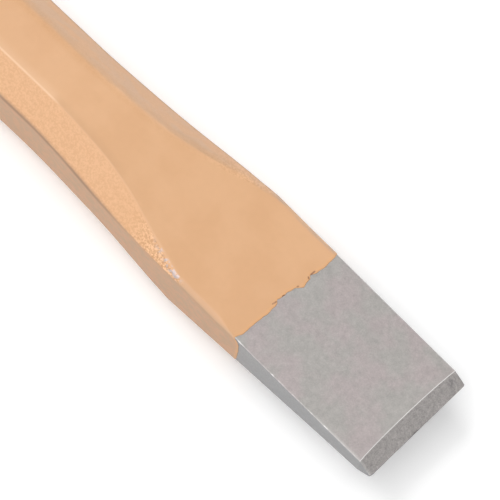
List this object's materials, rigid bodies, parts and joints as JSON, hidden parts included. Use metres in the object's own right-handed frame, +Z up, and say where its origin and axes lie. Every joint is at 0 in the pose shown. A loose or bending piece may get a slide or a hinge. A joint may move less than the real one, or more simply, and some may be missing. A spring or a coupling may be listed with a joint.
{
  "type": "cold chisel",
  "caption": "Flat cold chisel forged from octagonal bar, with a flared wedge blade, a bare ground tip, a short cutting bevel and a tan lacquered shank.",
  "frame": {"origin": "middle of the chisel's length and width, on the surface that it lies on", "axes": "+X along the chisel towards the cutting edge, +Y across the blade, +Z up through the blade's thickness"},
  "size_m": [0.2, 0.0252, 0.0202],
  "materials": {
    "tool_steel": "ground and fine-blasted, satin",
    "tan_lacquer": "satin lacquer over a forged surface"
  },
  "bodies": {
    "root": {"forged_body": "tool_steel", "lacquer_coat": "tan_lacquer"}
  },
  "joints": []
}
